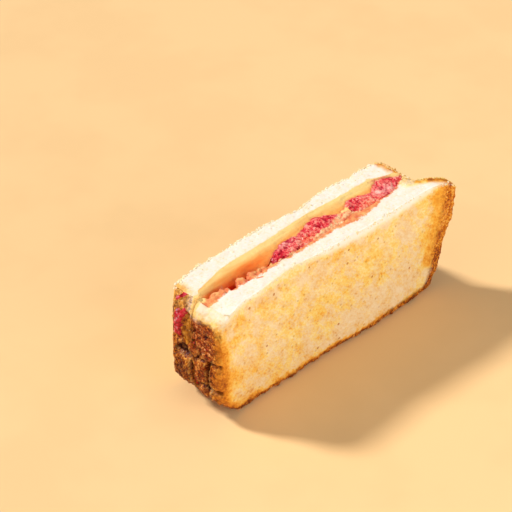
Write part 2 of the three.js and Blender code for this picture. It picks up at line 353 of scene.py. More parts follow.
def pocket(x, z, wide_x=-52):
    """Half the width of the filling's pocket, which has its full width from wide_x on."""
    at_cut = POCKET_HALF * mix(0.42, 1, smooth(x, -63, wide_x) * fade(x, 35, 47))
    end = seam_end(z)
    closed = smooth(x, end - 0.6, end + 2.2) * fade(x, 46, 50) * smooth(z, 5.5, POCKET_FLOOR_Z)
    return mix(POCKET_FOOT_HALF, at_cut, smooth(z, POCKET_FLOOR_Z, 47)) * closed


def back_pocket(x, z):
    """The same for the back slice: narrow at the left, widest in the middle."""
    return pocket(x, z, -40) * (1 + 0.2 * bump_at(x, 1, 15))


def divide(x, z):
    """Y of the surface between jam and peanut butter."""
    q = np.c_[x, 0 * x, 0 * x]
    jag = 0.55 * noise(q, 2.2, 3, 6) * smooth(x, -32, -28) + 0.2 * noise(q, 3, 2, 6)
    deep = mix(-0.08, 0.46 * smooth(z, 15, 42), smooth(x, -34, -6)) * pocket(x, z)
    low = np.maximum(pocket(x, z) - LEAST_LAYER, 0)
    high = np.maximum(back_pocket(x, z) - LEAST_LAYER, 0)
    return np.clip(mix(deep, on_line(x, SPLIT) + jag, smooth(z, 38, 47)), -low, high)


def lumps(x, z):
    return smooth(z, HEIGHT - 5.5, HEIGHT - 2) * bumps(x, CRUMB_LUMPS)


def face_wave(side, x, z):
    """How far a toasted face stands out of its plane."""
    high = smooth(z, 25, HEIGHT)
    if side == BACK:
        return high * (bumps(x, BACK_WAVES) - 1.6 * fade(x, -64, -48) - 1.6 * smooth(x, 40, 50))
    left = 1.3 * fade(x, -66, -50) - 1.6 * bump_at(x, -26, 15) * high
    foot = 0.9 * fade(z, 8, 34) * smooth(x, -35, 15)
    right = 0.9 * smooth(x, -8, 18) * (1 - 0.8 * smooth(x, 40, 56) * fade(z, 18, 36))
    return left + foot + right + 1.5 * smooth(x, 44, 62) * smooth(z, 22, 44)


def front_slump(x):
    """How far the front slice's cut has sunk at its two ends."""
    return 2.6 * fade(x, -68, -52) + LIP_DROP * smooth(x, 57, 67)


# Closed grids. The box's sides are numbered in this order
LOW_X, HIGH_X, LOW_Y, HIGH_Y, BOTTOM, TOP = range(6)


def even(n):
    return np.linspace(0, 1, n + 1)


def spaced(n, *spots):
    """n + 1 values from 0 to 1, closer near the spots (where, width, how much closer)."""
    t = np.linspace(0, 1, 2001)
    weight = 1 + sum(k * bump_at(t, at, w) for at, w, k in spots)
    total = np.concatenate([[0], np.cumsum((weight[1:] + weight[:-1]) / 2)])
    return np.interp(np.linspace(0, total[-1], n + 1), total, t)


def box_grid(us, vs, ws):
    """The surface of a box lattice: its points' unit coordinates, quads that face out, and their sides."""
    shape = (len(us), len(vs), len(ws))
    skin = np.zeros(shape, bool)
    skin[[0, -1]] = skin[:, [0, -1]] = skin[:, :, [0, -1]] = True
    ids = np.full(shape, -1)
    ids[skin] = np.arange(skin.sum())
    at = np.argwhere(skin)
    unit = np.c_[us[at[:, 0]], vs[at[:, 1]], ws[at[:, 2]]]
    flat_sides = (ids[0], ids[-1], ids[:, 0], ids[:, -1], ids[:, :, 0], ids[:, :, -1])
    flipped = (LOW_X, HIGH_Y, BOTTOM)
    quads, sides = [], []
    for side, g in enumerate(flat_sides):
        q = np.stack([g[:-1, :-1], g[1:, :-1], g[1:, 1:], g[:-1, 1:]], -1).reshape(-1, 4)
        quads.append(q[:, ::-1] if side in flipped else q)
        sides.append(np.full(len(q), side))
    return unit, np.concatenate(quads), np.concatenate(sides)


def normals_of(p, quads):
    n = np.cross(p[quads[:, 2]] - p[quads[:, 0]], p[quads[:, 3]] - p[quads[:, 1]])
    total = [np.bincount(quads.ravel(), np.repeat(n[:, k], quads.shape[1]), len(p)) for k in range(3)]
    total = np.stack(total, 1)
    return total / np.maximum(np.linalg.norm(total, axis=1), 1e-12)[:, None]


def add_object(name, data):
    thing = bpy.data.objects.new(name, data)
    bpy.context.scene.collection.objects.link(thing)
    return thing


def make_piece(name, p, faces, masks, slot, border=None):
    """A piece from points in mm about the slices' seam. One with a border replaces the solid of its name."""
    mesh = bpy.data.meshes.new(name)
    mesh.from_pydata(((p + CENTRE) * MM).tolist(), [], faces.tolist())
    mesh.update()
    mesh.shade_smooth()
    for key, values in masks.items():
        layer = mesh.attributes.new(key, "FLOAT", "POINT")
        layer.data.foreach_set("value", np.clip(values, 0, 1).astype(np.float32))
    mesh.materials.append(materials[slot])
    piece = add_object(name, mesh)
    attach(piece, "root")
    if border is not None:
        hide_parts(name)
        # The surfaces on either side of the border are shaded apart
        ends = np.empty(2 * len(mesh.edges), np.int32)
        mesh.edges.foreach_get("vertices", ends)
        sharp = np.isin(ends, border).reshape(-1, 2).all(axis=1)
        mesh.attributes.new("sharp_edge", "BOOLEAN", "EDGE").data.foreach_set("value", sharp)


# Materials
class Shader:
    """A material with one Principled shader, and short calls to add nodes."""

    def __init__(self, name):
        self.material = bpy.data.materials.new(name)
        self.material.use_nodes = True
        self.tree = self.material.node_tree
        self.surface = next(n for n in self.tree.nodes if n.type == "BSDF_PRINCIPLED")
        self.where = self.add("ShaderNodeTexCoord").outputs["Object"]

    def put(self, socket, value):
        if isinstance(value, bpy.types.NodeSocket):
            self.tree.links.new(value, socket)
        else:
            socket.default_value = value

    def add(self, kind, inputs=None, **props):
        """A new node. Its inputs are given by name, as numbers or sockets."""
        node = self.tree.nodes.new(kind)
        for key, value in props.items():
            setattr(node, key, value)
        for key, value in (inputs or {}).items():
            self.put(node.inputs[key], value)
        return node

    def set(self, **values):
        for key, value in values.items():
            self.put(self.surface.inputs[key.replace("_", " ")], value)

    def masks(self, names):
        """The sockets of a piece's masks, from their names in one string."""
        return [self.add("ShaderNodeAttribute", attribute_name=n).outputs["Fac"] for n in names.split()]

    def noise(self, size, detail=3, rough=0.6, distort=0, stretch=(1, 1, 1), shift=0, turn=0):
        """Noise from 0 to 1 with features of about size mm, turned about Y before it is stretched."""
        where = self.where
        if turn:
            values = {"Vector": where, "Angle": turn}
            where = self.add("ShaderNodeVectorRotate", values, rotation_type="Y_AXIS").outputs["Vector"]
        if shift or stretch != (1, 1, 1):
            values = {"Vector": where, "Scale": stretch, "Location": (shift, shift, shift)}
            where = self.add("ShaderNodeMapping", values).outputs["Vector"]
        values = {"Vector": where, "Scale": 1 / (size * MM), "Detail": detail, "Roughness": rough}
        values["Distortion"] = distort
        return self.add("ShaderNodeTexNoise", values).outputs["Fac"]

    def dots(self, size, radius, share):
        """Small round dots in a random share of the cells of a grid of about size mm."""
        values = {"Vector": self.where, "Scale": 1 / (size * MM)}
        node = self.add("ShaderNodeTexVoronoi", values, feature="F1")
        inside = self.fit(node.outputs["Distance"], radius, radius * 1.7, 1, 0)
        draw = self.math("FRACT", self.times(node.outputs["Color"], 7.3))
        return self.times(inside, self.fit(draw, share, share + 0.01, 1, 0))

    def math(self, operation, a, b=0, clamp=False):
        return self.add("ShaderNodeMath", {0: a, 1: b}, operation=operation, use_clamp=clamp).outputs[0]

    def join(self, operation, values, clamp):
        """The values joined from left to right. A clamp keeps the result within 0 to 1."""
        result = values[0]
        for value in values[1:-1]:
            result = self.math(operation, result, value)
        return self.math(operation, result, values[-1], clamp)

    def plus(self, *values, clamp=False):
        return self.join("ADD", values, clamp)

    def less(self, *values, clamp=False):
        return self.join("SUBTRACT", values, clamp)

    def times(self, *values, clamp=False):
        return self.join("MULTIPLY", values, clamp)

    def fit(self, value, lo, hi, to_lo=0, to_hi=1, kind="SMOOTHSTEP"):
        values = {"Value": value, "From Min": lo, "From Max": hi, "To Min": to_lo, "To Max": to_hi}
        return self.add("ShaderNodeMapRange", values, interpolation_type=kind, clamp=True).outputs["Result"]

    def sway(self, value, to_lo, to_hi, reach=0.2):
        """Noise in straight proportion, from to_lo to to_hi over most of its range."""
        return self.fit(value, 0.5 - reach, 0.5 + reach, to_lo, to_hi, "LINEAR")

    def blend(self, a, b, share):
        node = self.add("ShaderNodeMix", {"Factor": share}, data_type="RGBA", blend_type="MIX")
        colours = [s for s in node.inputs if s.type == "RGBA"]
        self.put(colours[0], a)
        self.put(colours[1], b)
        return next(s for s in node.outputs if s.type == "RGBA")

    def ramp(self, value, stops):
        node = self.add("ShaderNodeValToRGB", {"Fac": value})
        elements = node.color_ramp.elements
        while len(elements) < len(stops):
            elements.new(0.5)
        for element, (at, *colour) in zip(elements, stops):
            element.position = at
            element.color = srgb(*colour)
        return node.outputs["Color"]

    def bump(self, height, distance, strength=1):
        values = {"Height": height, "Distance": distance * MM, "Strength": strength}
        return self.add("ShaderNodeBump", values).outputs["Normal"]


def toast_colour(s, brown, fine, pale):
    """Toasted face: cream through gold to brown, mottled at three scales, with small dark pores."""
    press = {"stretch": (1.2, 1, 0.8), "turn": math.radians(45)}
    large, middle = s.noise(7, **press), s.noise(3, shift=0.002, **press)
    small = s.noise(1, rough=0.65, **press)
    mottle = s.plus(s.sway(large, -0.09, 0.09), s.sway(middle, -0.1, 0.1), s.sway(small, -0.14, 0.14))
    value = s.plus(brown, s.times(mottle, s.fit(brown, 0.42, 0.58, 1, 0.6)), clamp=True)
    beige = s.plus(
        s.fit(s.noise(22, 2, 0.55), 0.38, 0.62, 0.1, 0.8),
        s.fit(s.noise(4.5, shift=0.011, **press), 0.38, 0.62, -0.36, 0.46),
        s.fit(fine, 0.35, 0.65, -0.34, 0.34),
        s.times(pale, 0.36),
    )
    beige = s.times(beige, s.fit(brown, 0.42, 0.58, 1, 0.1), s.fit(brown, 0.2, 0.34), clamp=True)
    toast = s.blend(s.ramp(value, GOLD_TOAST), s.ramp(value, BEIGE_TOAST), beige)
    pores = s.math("MAXIMUM", s.times(s.dots(2.8, 0.13, 0.3), 0.5), s.dots(5.3, 0.08, 0.36))
    return s.blend(toast, srgb(190, 112, 10), s.times(pores, 0.8))


def rind_colour(s, bright, stain, rim, fine):
    """Crust at the ends: brown with dark and pale grit, ruddy where juice has stained it. The rim mask adds
    pale gold: golden crust at the cut's worn right end, and painted highlights on the left crust.
    """
    coarse, grit = s.noise(2.6, rough=0.65, shift=3), s.noise(0.75, rough=0.65)
    value = s.plus(s.sway(coarse, 0, 0.44, 0.16), s.sway(grit, 0, 0.54, 0.14))
    value = s.times(value, s.less(1, s.times(bright, 0.3)))
    value = s.plus(value, s.times(bright, 0.365), clamp=True)
    rind = s.blend(s.ramp(value, RIND), s.ramp(value, RUDDY_RIND), stain)
    return s.blend(rind, srgb(250, 196, 104), s.times(rim, s.fit(fine, 0.35, 0.6, 0.2, 0.8)))


def bread_material():
    s = Shader("bread")
    crumb, crust, brown, bright, pale, dark, rim = s.masks("crumb crust brown bright pale dark rim")
    stain, jam, spread = s.masks("stain jam spread")
    fine, grit = s.noise(0.8), s.noise(2.2, 4)
    base = s.blend(toast_colour(s, brown, fine, pale), rind_colour(s, bright, stain, rim, fine), crust)

    # White crumb at the cut
    uneven = s.plus(s.fit(fine, 0.3, 0.7, 0, 0.5), s.fit(grit, 0.3, 0.7, 0, 0.5), clamp=True)
    # Painted light: whiter crumb just under the cut's edge
    open_crumb = s.blend(s.ramp(uneven, OPEN_CRUMB), srgb(255, 255, 248), bright)
    base = s.blend(base, open_crumb, crumb)

    # Juice that has soaked in, and peanut butter and jam that have rubbed off
    juice = s.ramp(s.noise(2.2, shift=5), JUICE)
    soaked = s.fit(s.plus(stain, s.sway(fine, -0.3, 0.3)), 0.32, 0.85)
    base = s.blend(base, juice, s.times(soaked, s.less(1, crust)))
    butter = s.ramp(s.noise(4, rough=0.55, shift=7), RUBBED_BUTTER)
    butter = s.blend(butter, srgb(254, 216, 140), s.fit(crumb, 0.3, 0.6))
    base = s.blend(base, butter, s.fit(s.plus(spread, s.sway(fine, -0.1, 0.1)), 0.36, 0.56))
    wet = s.fit(s.plus(jam, s.sway(grit, -0.18, 0.18)), 0.44, 0.56)
    base = s.blend(base, s.ramp(s.noise(2, shift=9), RUBBED_JAM), wet)
    # Painted shade: dark maroon in the left crust's folds, hollows and lower part, and in the right end's
    # seam
    base = s.blend(base, srgb(66, 6, 8), s.times(dark, 0.95))

    dry, greasy = s.fit(crumb, 0, 1, 0.62, 0.95), s.times(s.fit(spread, 0.4, 0.6), 0.15)
    rough = s.less(dry, s.times(crust, 0.34), greasy, s.times(wet, 0.25), clamp=True)
    height = s.plus(s.times(fine, 0.6), s.times(grit, 0.9))
    strength = s.plus(0.55, s.less(s.times(crust, 0.45), s.times(crumb, 0.42)))
    s.set(Base_Color=base, Roughness=s.math("MAXIMUM", rough, 0.15), Normal=s.bump(height, 0.6, strength))
    s.set(Specular_IOR_Level=0.2)
    return s.material


def butter_material():
    s = Shader("peanut_butter")
    low, soak = s.masks("low soak")
    streak, grit = s.noise(2.4, 4, stretch=(0.16, 1, 1)), s.noise(0.9)
    # The low mask's darker, redder stops are partly painted shade and painted bounce light, partly stain
    base = s.ramp(s.plus(low, s.sway(streak, -0.13, 0.13), clamp=True), BUTTER)
    base = s.blend(base, srgb(232, 96, 84), s.times(soak, s.fit(grit, 0.35, 0.65, 0.3, 1)))
    base = s.blend(base, srgb(226, 160, 84), s.fit(grit, 0.62, 0.72, 0, 0.5))
    normal = s.bump(s.plus(streak, grit), 0.25, 0.5)
    s.set(Base_Color=base, Roughness=s.fit(low, 0, 1, 0.42, 0.28), Normal=normal)
    s.set(Subsurface_Weight=0.15, Subsurface_Radius=(1, 0.8, 0.6), Subsurface_Scale=0.6 * MM)
    return s.material


def jam_material():
    s = Shader("jam")
    pulp, butter, crumb, haze, warm = s.masks("pulp butter crumb haze warm")
    vein, grit = s.noise(1.6, 4, 0.65, 0.6), s.noise(0.8)
    strand = s.math("ABSOLUTE", s.less(s.noise(3.2, distort=1, shift=0.021), 0.5))
    value = s.plus(
        s.times(pulp, 0.72),
        s.sway(vein, -0.16, 0.24, 0.16),
        s.fit(strand, 0, 0.045, -0.34, 0.04),
        s.sway(grit, -0.08, 0.08),
        clamp=True,
    )
    glint = s.fit(s.noise(1, distort=0.5, shift=0.004), 0.54, 0.66, 0, 0.65)
    base = s.blend(s.ramp(value, JAM), srgb(255, 190, 170), s.times(glint, s.fit(pulp, 0.25, 0.6)))
    base = s.blend(base, s.ramp(value, WARM_JAM), s.times(warm, 0.8))
    base = s.blend(base, s.ramp(value, COOL_JAM), s.times(haze, 0.75))
    tan = s.ramp(s.noise(1.8, stretch=(0.4, 1, 1)), BUTTER_IN_JAM)
    base = s.blend(base, tan, s.fit(s.plus(butter, s.sway(vein, -0.2, 0.2)), 0.42, 0.6))
    soft = s.ramp(s.noise(1.7, shift=5), SOAKED_CRUMB)
    base = s.blend(base, soft, s.fit(s.plus(crumb, s.sway(vein, -0.25, 0.25)), 0.4, 0.7))
    normal = s.bump(s.plus(vein, grit), 0.4, s.fit(butter, 0.2, 0.8, 0.45, 0.1))
    s.set(Base_Color=base, Roughness=s.fit(vein, 0.3, 0.7, 0.2, 0.42), Normal=normal)
    s.set(Subsurface_Weight=0.15, Subsurface_Radius=(1, 0.5, 0.5), Subsurface_Scale=0.8 * MM)
    s.set(Specular_IOR_Level=0.3, Coat_Weight=0.1, Coat_Roughness=0.12)
    return s.material


def floor_material():
    s = Shader("floor")
    base = s.blend(srgb(250, 210, 153), srgb(246, 206, 149), s.fit(s.noise(60, rough=0.55), 0.4, 0.6))
    s.set(Base_Color=base, Roughness=0.85)
    return s.material


# Bread slices
class Layout:
    """How the points of a slice lie: one array for each name, filled in on the way."""


def slice_form(side):
    """A slice before its relief: its points, their normals, its quads and how the points lie."""
    front = side == FRONT
    outer_side, inner_side = (LOW_Y, HIGH_Y) if front else (HIGH_Y, LOW_Y)
    unit, quads, sides = box_grid(
        spaced(SLICE_GRID[0], (0, 0.035, 1.3), (1, 0.035, 0.8)),
        even(SLICE_GRID[1]),
        spaced(SLICE_GRID[2], (1, 0.06, 1), (0, 0.04, 0.5)),
    )
    a, b, c = unit.T
    length = FOOT_RIGHT_X - LEFT_X
    inwards = FACE_Y * (b if front else 1 - b)
    along, across = round_corner(length * a, inwards, (length, FACE_Y + 2 * CRUST_EDGE_R), CRUST_EDGE_R)
    end = (FACE_Y + 2 * FOOT_EDGE_R, HEIGHT + 2 * FOOT_EDGE_R)
    across, up = round_corner(across, HEIGHT * c, end, FOOT_EDGE_R)
    share = across / FACE_Y
    near_face = smooth(1 - share, 0, 0.6)
    roll = mix(SEAM_ROLL, FRONT_ROLL if front else BACK_ROLL, near_face)
    tuck = 0 if front else BACK_TUCK * near_face
    worn = np.clip((up - ROLL_Z) / (HEIGHT - ROLL_Z), 0, 1) ** 2
    x = mix(left_crust(up) + tuck + roll * worn, right_crust(side, up, share), along / length)
    slump = front_slump(x) * mix(0.2, 1, smooth(1 - share, 0, 0.7)) * smooth(up, 25, HEIGHT) if front else 0
    z = up - slump
    inner = pocket(x, z) - lumps(x, z) if front else back_pocket(x, z)
    inner = inner - SEAM_OVERLAP * fade(inner, 0, 0.3)
    y = mix(side * (FACE_Y + face_wave(side, x, z)), side * inner, share)
    # The cut drops a little at its outer edge, most at the front slice's lip
    drop = mix(0.25, 0.8, smooth(x, 50, 60)) if front else 0.4
    z = z - drop * fade(across, -0.6, 2.2) * smooth(up, HEIGHT - 5, HEIGHT)
    p = np.c_[x, y, z]

    # The inner face has normals of its own, so that the two slices' skins meet without a ridge
    skin = sides != inner_side
    at = Layout()
    at.front = front
    at.inside = np.ones(len(p), bool)
    at.inside[quads[skin]] = False
    n = np.where(at.inside[:, None], normals_of(p, quads[~skin]), normals_of(p, quads[skin]))
    rim_of_face = np.intersect1d(quads[sides == TOP], quads[sides == outer_side])
    at.border = np.union1d(np.intersect1d(quads[skin], quads[~skin]), rim_of_face)

    at.share = share
    at.cut = (c > 0.9999).astype(float)
    at.from_cut = HEIGHT - up
    at.from_outer = across
    at.from_left = along
    at.from_right = length - along
    at.upright = np.abs(n[:, 1])
    at.face = smooth(at.upright, 0.55, 0.9) * (share < 0.3) * (1 - at.cut)
    at.left = smooth(-n[:, 0], 0.3, 0.75) * (along < 6) * (1 - at.cut)
    at.right_end = (a > 0.9999) * (1 - at.cut)
    # The band of crust at the right of the toasted face, with a ragged edge
    wide = smooth(up, 10, 25)
    ragged = 1.2 * noise(np.c_[along, across, up], 2.4, 3, 8)
    at.band = fade(at.from_right + ragged, mix(5, 6.2, wide), mix(8.4, 10.6, wide)) * (share < 0.35)
    at.band = at.band * smooth(up, 0.5, 3) * (1 - at.cut)
    return p, n, quads, at


def crust_folds(p):
    """Height of the left crust's folds and cushions at points p, with painted shade in the folds and pale
    painted highlights on their rims.
    """
    y = p[:, 1] + 0.9 * noise(p, 4, 4, 4)
    z = p[:, 2] + 0.9 * noise(p, 4, 4, 8)
    height, dark, rim = np.full(len(p), -0.4), np.zeros(len(p)), np.zeros(len(p))
    for (cy, cz), (hy, hz), lift in LEFT_CUSHIONS:
        d = (np.abs((y - cy) / hy) ** 4 + np.abs((z - cz) / hz) ** 4) ** 0.25
        height += lift * fade(d, 0.62, 1.06)
    for a, b, half, depth in LEFT_FOLDS:
        d = to_segment(y, z, a, b)
        height -= depth * bump_at(d, 0, half) - 0.14 * depth * bump_at(d, 1.9 * half, 0.5 * half)
        # Painted shade inside each fold, and a painted highlight on the pale rim beside it
        dark += min(1, depth / 1.8) * bump_at(d, 0, 1.05 * half)
        rim += min(1, depth / 2.4) * bump_at(d, 0.8 + half, 0.35)
    return height, dark, rim


def lump_relief(p, at):
    """Round the soaked lumps, a little below the cut, and return the lift that makes them rough."""
    x, y, z = p.T
    within = np.clip(lumps(x, z) / 1.6, 0, 1) * smooth(y, -6.6, -5.2) * fade(at.from_cut, 3, 7)
    dome = np.zeros(len(p))
    for middle, half, reach in CRUMB_LUMPS:
        if reach > LARGE_LUMP:
            out = ((x - middle) / (1.25 * half)) ** 2 + ((y - LUMP_Y) / 2.7) ** 2
            dome += np.sqrt(np.clip(1 - out, 0, 1))
    p[:, 2] += within * (1.5 * dome - 1.5) * fade(at.from_cut, 0, 5)
    lobes = 1 - 2.2 * np.abs(noise(p, 3, 2, 2))
    return within * (0.5 * lobes + 0.14 * noise(p, 1, 2, 2) - 0.1)


def add_relief(p, n, at):
    """A slice's points moved along their normals, to give each kind of surface its relief."""
    y, z = p[:, 1], p[:, 2]
    # Toasted face: gentle waves and pressed pores
    near, value = cells(p, 2.3)
    pores = -(0.14 + 0.22 * value) * fade(near, 0, 0.42) * (value > 0.45)
    toasted = most(at.face, at.cut * fade(at.from_outer, 0, 0.3))
    waves = 0.22 * noise(p, 14, 2) + 0.07 * noise(p, 4, 3) + 0.05 * noise(p, 1.2, 2)
    lift = toasted * (waves + 0.35 * pores)
    # Left crust: folds and grit, calm where the front slice's corner of crumb shows
    folds, at.fold_dark, at.fold_rim = crust_folds(p)
    at.gritty = noise(p, 1.5, 3, 2)
    jam_swell = 0.9 * spot(y, z, (8.5, 37), (3, 6))
    calm = 1 - 0.8 * smooth(z, 43, 46.5) * at.front
    lift += at.left * (folds + jam_swell + 0.3 * noise(p, 4.2, 2, 1) + 0.5 * at.gritty * calm)
    # Right end and foot, with the seam of the two slices
    lift += most(at.right_end, at.band) * (0.30 * noise(p, 4, 2) + 0.30 * noise(p, 1.3, 3))
    lift += fade(z, 0.8, 5) * smooth(at.upright, 0.3, 0.8) * (0.75 * noise(p, 6, 2) + 0.4 * noise(p, 1.8, 2))
    at.seam = at.right_end * fade(np.abs(y), 0.1, 1.3) * smooth(z, 1, 4) * fade(z, 34, 41)
    lift -= 0.9 * at.seam
    # Cut: open pores, and torn edges
    near, value = cells(p, 1.7, 0.4)
    holes = -0.36 * value**4 * fade(near, 0.05, 0.5)
    from_inner = FACE_Y - at.from_outer
    near_edge = fade(from_inner, 0.2, 1.6)
    if not at.front:
        near_edge = most(2.2 * fade(np.minimum(at.from_outer, at.from_right), 0.2, 1.8), near_edge)
    near_edge = near_edge * smooth(at.from_left, 4, 7)
    open_crumb = 0.24 * noise(p, 7, 2) + 0.09 * noise(p, 2.4, 3, 3) + holes
    open_crumb += near_edge * 0.3 * noise(p, 1.4, 2, 6)
    lift += at.cut * open_crumb * (smooth(at.from_outer, 0, 1.2) if at.front else smooth(from_inner, 0, 2))
    torn = noise(p, 1.4, 2, 9)
    lift += (0.1 if at.front else 0.45) * fade(at.from_cut, 0, 1.2) * (1 - at.cut) * at.face * torn
    if at.front:
        lift += lump_relief(p, at)
    else:
        lift += 0.7 * at.right_end * fade(at.from_cut, 0, 1.5) * torn
    # Deep in the pocket and on the ground the surface stays as it is
    lift[at.inside & (at.from_cut > 7)] = 0
    lift[z < 0.05] = 0
    p = p + n * lift[:, None]
    p[:, 2] = most(p[:, 2], 0)
    return p


def find_borders(side, p, at):
    """What several masks share: a wobble, the left end's crust and the worn ends of the cut."""
    x, y, z = p.T
    at.wobble = noise(p, 3, 3, 5)
    at.to_edge = right_crust(side, z, 0) - x
    # At the left end the crust starts lower on the front slice, where the corner of crumb has sunk
    at.crust_top = mix(44.6, 51.2, smooth(y, -1.5, 1.5)) + 0.8 * at.wobble
    at.left_crust = at.left * smooth(at.crust_top - z, -0.8, 1.8)
    at.corner = at.cut * fade(at.from_left, 1, 5.6 + 1.5 * at.wobble) * mix(0.7, 1, smooth(y, 2, 7))
    if at.front:
        at.corner = at.corner * smooth(y, -9, -4)
        at.rim = at.cut * fade(at.from_right + 1.1 * at.wobble, 2.4, 8)
    else:
        at.rim = at.cut * fade(at.from_right + 0.9 * at.wobble, 0.8, 4.6)


def crumb_mask(p, at):
    """Bare crumb: the cut, the pocket's mouth and a ragged strip just under the cut."""
    x, y, z = p.T
    below_edge = np.where(at.cut > 0, -at.from_outer, at.from_cut)
    reach = on_line(x, FRONT_CRUMB_REACH) if at.front else BACK_CRUMB_REACH
    white = fade(below_edge - reach + 0.7 * at.wobble, -1.7, 2.3)
    mouth = at.inside & (at.from_cut < 14) & ((at.from_left > 3.5) | (at.from_cut < 6))
    strip = smooth(at.upright, 0.1, 0.6) * (at.share < 0.3) * white
    crumb = most(np.where(mouth, 1, at.cut * white), strip)
    if at.front:
        crumb = crumb * smooth(at.from_right, 3.5, 9)
    crumb = most(crumb, 0.7 * at.left * fade(at.crust_top - z, -4, -0.6))
    return crumb * (1 - 0.9 * at.corner) * (1 - at.rim)


def brown_mask(p, at):
    """How brown the toast is: pale just under the cut, brown along the foot and at the ends."""
    x, y, z = p.T
    wobble, to_edge = at.wobble, at.to_edge
    brown = 0.36 + 0.07 * noise(p, 26, 2, 2) + 0.07 * noise(p, 9, 2, 6)
    brown -= 0.17 * fade(at.from_cut, 0.5, 6 + 3 * wobble)
    brown += 0.42 * fade(z, 1, 4.2 + 2 * wobble) + 0.10 * fade(z, 3, 9)
    brown += 0.24 * fade(at.from_left, 1.5, 6 + 1.5 * wobble) * (0.4 + 0.6 * fade(z, 34, 46))
    brown += 0.25 * fade(to_edge, 8, 23 + 4 * wobble) * smooth(z, 4, 20)
    brown += 0.22 * fade(to_edge, 7, 17 + 3 * wobble) * smooth(z, 3, 16)
    brown += 0.12 * fade(x, -54, -26) * fade(z, 12, 34)
    brown += 0.13 * bump_at(at.from_cut, 8, 4) * smooth(noise(p, 6, 2, 21), 0, 0.5)
    brown -= 0.07 * smooth(z, 30, 46) * smooth(x, -5, 25) * smooth(to_edge, 12, 20)
    brown = np.where((to_edge < 26) & (z > 5), np.minimum(brown, 0.61), brown)
    if at.front:
        brown_rim = 0.08 + 0.12 * smooth(wobble, -0.3, 0.5)
    else:
        brown_rim = 0.05 + 0.25 * smooth(wobble, 0.1, 0.8)
    brown += (0.18 + 0.16 * smooth(y, 3, 7)) * at.corner + brown_rim * at.rim
    least = mix(0.5, 0.28, smooth(z - at.crust_top, -1, 2.5))
    return np.where(at.left > 0.4, most(brown, least), brown)


def crust_mask(p, at):
    """Hard crust: the two ends, a little way into the seam at the left, and the foot."""
    x, y, z = p.T
    crust = at.left_crust * mix(0.15, 1, smooth(y + 0.8 * at.gritty, -13.8, -10.4)) + at.right_end + at.band
    if at.front:
        crust = crust + 0.45 * fade(at.from_right, 0.4, 4.5) * at.cut * smooth(at.gritty, -0.3, 0.5)
    crust = np.clip(crust, 0, 1)
    crust = most(crust, 0.8 * (at.inside & (at.from_left <= 3.5)) * fade(z, 41, 44))
    foot_height = mix(1, 1.9, smooth(x, 5, 45))
    foot = fade(z + 0.9 * noise(p, 1.6, 2, 3), foot_height, 2.6 * foot_height)
    return most(crust, 0.9 * foot * (1 - at.left))


def stain_mask(p, at):
    """Juice: it makes the left end ruddy, and soaks into the front slice's inner edge."""
    x, y, z = p.T
    middle = smooth(z, 26, 28.5) * fade(z, 41, 45) * smooth(y, -12, -8) * fade(y, 0.5, 3)
    lower = 0.6 * smooth(y, -7.6, -6.6) * fade(y, -0.8, 0) * fade(z, 24, 27)
    stain = 0.9 * at.left * most(middle, lower, 0.8 * spot(y, z, (5.4, 26), (5.06, 2.86)))
    if not at.front:
        return stain
    soaked = smooth(y - on_line(x, JUICE_EDGE) + 0.9 * at.wobble, -1.7, 1.1) * fade(at.from_cut, 4, 9)
    soaked = soaked * smooth(x, -64.6, -62.5) * fade(x, 43, 47)
    mark = at.cut * fade(to_segment(x, y, *JUICE_MARK), 0.1, 0.6)
    return most(stain, soaked * most(at.cut, at.inside), mark)


def smear_mask(p, at):
    """Jam rubbed on the left crust: two streaks, a dab above them, and flecks."""
    x, y, z = p.T
    streaks = np.minimum(*(to_segment(y, z, *streak) for streak in JAM_STREAKS))
    smear = fade(streaks + 0.3 * at.wobble, 0.5, 1.5)
    dab = 0.9 * fade(to_segment(y, z, *JAM_DAB) + 0.6 * at.wobble, 0.5, 1.6)
    flecks = 0.75 * smooth(noise(p, 2.4, 2, 12), 0.35, 0.65)
    flecks = flecks * fade(np.hypot((y + 3) / 6.5, (z - 34) / 9), 0.7, 1.1)
    return at.left * most(smear, dab, flecks)


def spread_mask(p, at):
    """Peanut butter rubbed off: on the left crust, and along the back slice's inner edge."""
    x, y, z = p.T
    patch = np.hypot((y - 3.2 + 0.14 * (z - 34)) / 2.7, (z - 35) / 6.2)
    drip = 0.7 * fade(to_segment(y, z, *BUTTER_DRIP) + 0.2 * at.wobble, 0.5, 1.3)
    spread = at.left * most(fade(patch + 0.15 * at.wobble, 0.8, 1.15), drip)
    if at.front:
        return spread
    rub = fade(y - back_pocket(x, z) + 0.5 * at.wobble, 0.3, 1.5)
    edge = 0.46 * at.cut * rub * smooth(x, -62, -56) * fade(x, 38, 44)
    lining = 0.6 * at.inside * (at.from_cut < 6) * fade(x, -62, -52)
    return most(spread, edge, lining)


